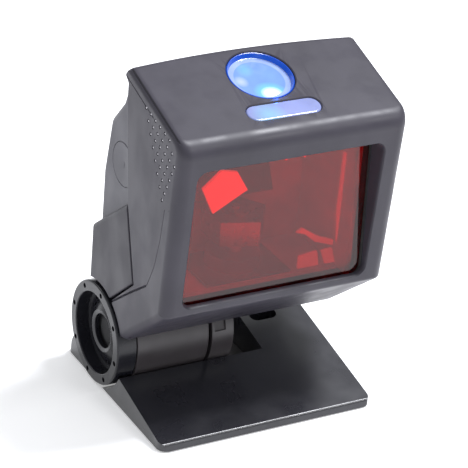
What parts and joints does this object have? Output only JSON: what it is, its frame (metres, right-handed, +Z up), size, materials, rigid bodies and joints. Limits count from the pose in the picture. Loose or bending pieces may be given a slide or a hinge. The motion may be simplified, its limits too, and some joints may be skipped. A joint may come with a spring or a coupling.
{
  "type": "hands-free bar code scanner",
  "caption": "Desk-standing laser bar code scanner head with a large recessed window, on a wedge base with a tilting hinge drum, clamp ring and top push button.",
  "frame": {"origin": "on the table, under the middle of the base; the tilt hinge's axis runs along X, 14.5 mm behind the origin and 19 mm up", "axes": "+Z up, -Y the way the window faces, +X to the right as seen by the scanner looking out, along the hinge away from the clamp ring"},
  "size_m": [0.0844, 0.0724, 0.1234],
  "materials": {
    "cover_plastic": "fine textured charcoal",
    "housing_plastic": "satin slate grey",
    "base_plastic": "fine textured black",
    "ring_plastic": "satin moulded black",
    "inner_plastic": "matt black",
    "rubber_black": "soft matt",
    "red_filter": "polished, tinted red",
    "button_clear": "polished, blue",
    "lens_clear": "frosted, pale blue",
    "steel": "zinc plated",
    "dark_steel": "black oxide",
    "cast_weight": "as cast",
    "brass": "turned",
    "mirror": "polished",
    "board": "solder mask green",
    "led": "clear"
  },
  "bodies": {
    "stand": {"base_plate": "base_plastic", "bottom_cover": "base_plastic", "base_weight": "cast_weight", "rubber_feet": "rubber_black", "base_screws": "steel", "hinge_ear": "base_plastic", "ear_screws": "steel", "pivot_bolt": "dark_steel", "friction_washer": "rubber_black"},
    "clamp_ring": {"clamp_ring": "ring_plastic", "ring_bush": "dark_steel"},
    "head": {"front_cover": "cover_plastic", "rear_housing": "housing_plastic", "rear_cradle": "cover_plastic", "side_plugs": "housing_plastic", "hinge_drum": "base_plastic", "saddle_plate": "steel", "saddle_screws": "steel", "cradle_screws": "steel", "disc_spring": "steel", "window_filter": "red_filter", "window_gasket": "rubber_black", "indicator_lens": "lens_clear", "speaker": "inner_plastic", "speaker_gasket": "rubber_black", "optics_chassis": "inner_plastic", "chassis_screws": "steel", "side_mirrors": "mirror", "top_mirrors": "mirror", "floor_mirror": "mirror", "collecting_mirror": "mirror", "laser_module": "brass", "laser_clamp": "dark_steel", "detector_board": "board", "scan_motor": "steel", "motor_board": "board", "main_board": "board", "board_screws": "steel", "lead_socket": "inner_plastic", "button_board": "board", "button_switch": "inner_plastic", "indicator_leds": "led"},
    "mode_button": {"button_cap": "button_clear", "button_stem": "inner_plastic"},
    "scan_rotor": {"scan_polygon": "mirror", "rotor_shaft": "steel"}
  },
  "joints": [
    {"name": "head_tilt", "type": "hinge", "parent": "stand", "child": "head", "pos_m": [0, 0.0145, 0.019], "axis": [1, 0, 0], "range_deg": [-30, 40]},
    {"name": "clamp_turn", "type": "hinge", "parent": "stand", "child": "clamp_ring", "pos_m": [-0.038, 0.0145, 0.019], "axis": [1, 0, 0], "range_deg": [-180, 0]},
    {"name": "button_press", "type": "slide", "parent": "head", "child": "mode_button", "axis": [0, 0.2974, -0.9548], "range_m": [0, 0.0008], "stiffness_N_per_m": 600, "springref_m": -0.001},
    {"name": "rotor_spin", "type": "hinge", "parent": "head", "child": "scan_rotor", "pos_m": [0, -0.0025, 0.058], "axis": [0, 0, 1], "continuous": true}
  ]
}
